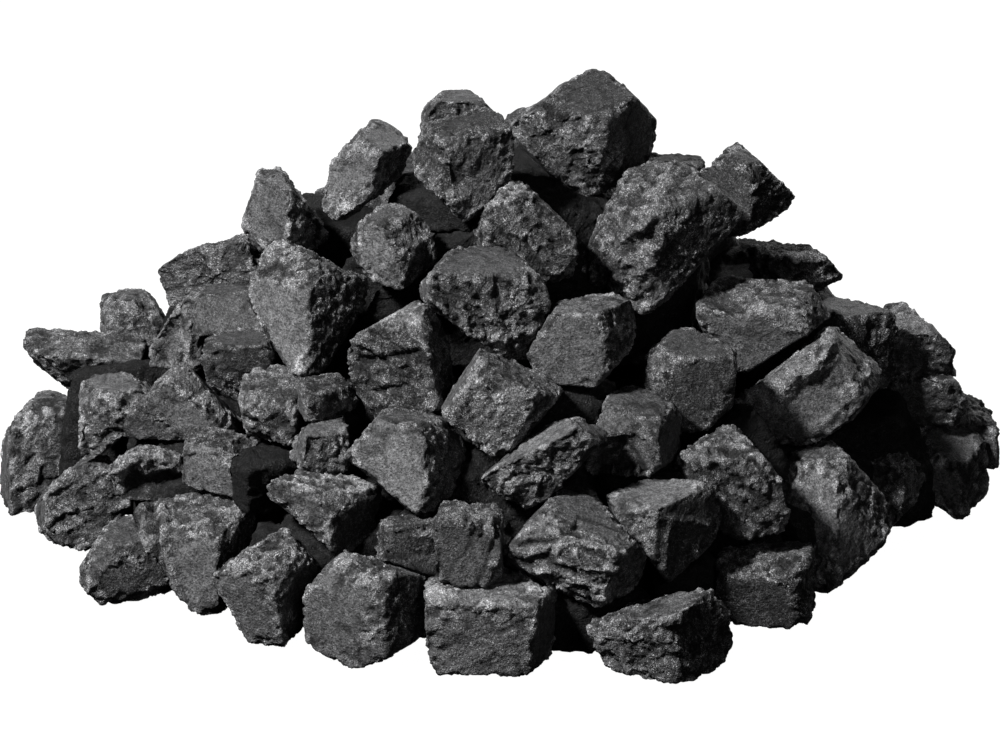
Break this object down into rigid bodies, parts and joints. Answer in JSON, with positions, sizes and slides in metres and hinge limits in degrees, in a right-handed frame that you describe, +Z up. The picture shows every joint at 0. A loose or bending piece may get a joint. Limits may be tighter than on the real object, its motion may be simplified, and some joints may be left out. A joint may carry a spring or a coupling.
{
  "type": "heap of lump charcoal",
  "caption": "Heap of loose lump charcoal, each lump a chipped near-black block of its own shape, lying on a flat floor; lumps on top lift straight off.",
  "frame": {"origin": "on the floor under the middle of the heap's outline", "axes": "+Z up, +X to the right and -Y towards the front, where the heap is looked at from"},
  "size_m": [0.4096, 0.3948, 0.1823],
  "materials": {
    "charcoal": "dry charred wood, near black and dull, smooth where it split and crusty elsewhere"
  },
  "bodies": {
    "heap": {"back_crown": "charcoal", "back_foot_left": "charcoal", "back_foot_right": "charcoal", "back_high_left": "charcoal", "back_high_right": "charcoal", "back_low_left": "charcoal", "back_low_right": "charcoal", "bevel_lump": "charcoal", "big_front_lump": "charcoal", "broken_shell_lump": "charcoal", "core_lumps": "charcoal", "crown_back_lumps": "charcoal", "dark_round_lump": "charcoal", "far_left_lump": "charcoal", "flat_front_block": "charcoal", "flat_lump": "charcoal", "flat_pale_lump": "charcoal", "front_block": "charcoal", "front_right_lump": "charcoal", "gnarly_lump": "charcoal", "hatched_block": "charcoal", "hollow_block": "charcoal", "layered_lump": "charcoal", "leaf_lump": "charcoal", "ledge_block": "charcoal", "left_front_wedge": "charcoal", "left_inner_lumps": "charcoal", "left_low_lump": "charcoal", "left_middle_block": "charcoal", "left_rough_lump": "charcoal", "middle_right_block": "charcoal", "pale_block": "charcoal", "pale_facet_lump": "charcoal", "pale_rough_lump": "charcoal", "ribbed_block": "charcoal", "ridge_back_lumps": "charcoal", "ridge_lump": "charcoal", "ridged_slab": "charcoal", "right_edge_lumps": "charcoal", "right_end_block": "charcoal", "right_high_block": "charcoal", "right_low_lump": "charcoal", "right_rough_lump": "charcoal", "round_rough_lump": "charcoal", "small_front_block": "charcoal", "square_lump": "charcoal", "striated_lump": "charcoal", "tall_face_block": "charcoal", "three_corner_lump": "charcoal", "triangle_lump": "charcoal", "under_lump": "charcoal", "upper_left_lumps": "charcoal", "wedge_lump": "charcoal"},
    "peak_lump_body": {"peak_lump": "charcoal"},
    "crown_lump_body": {"crown_lump": "charcoal"},
    "tall_lump_body": {"tall_lump": "charcoal"},
    "cone_lump_body": {"cone_lump": "charcoal"},
    "right_crown_lump_body": {"right_crown_lump": "charcoal"},
    "jagged_lump_body": {"jagged_lump": "charcoal"},
    "left_slab_body": {"left_slab": "charcoal"}
  },
  "joints": [
    {"name": "peak_lump_lift", "type": "slide", "parent": "heap", "child": "peak_lump_body", "axis": [0, 0, 1], "range_m": [0, 0.07]},
    {"name": "crown_lump_lift", "type": "slide", "parent": "heap", "child": "crown_lump_body", "axis": [0, 0, 1], "range_m": [0, 0.07]},
    {"name": "tall_lump_lift", "type": "slide", "parent": "heap", "child": "tall_lump_body", "axis": [0, 0, 1], "range_m": [0, 0.06]},
    {"name": "cone_lump_lift", "type": "slide", "parent": "heap", "child": "cone_lump_body", "axis": [0, 0, 1], "range_m": [0, 0.06]},
    {"name": "right_crown_lump_lift", "type": "slide", "parent": "heap", "child": "right_crown_lump_body", "axis": [0, 0, 1], "range_m": [0, 0.06]},
    {"name": "jagged_lump_lift", "type": "slide", "parent": "heap", "child": "jagged_lump_body", "axis": [0.8, 0, 0.6], "range_m": [0, 0.05]},
    {"name": "left_slab_lift", "type": "slide", "parent": "heap", "child": "left_slab_body", "axis": [0, 0, 1], "range_m": [0, 0.05]}
  ]
}
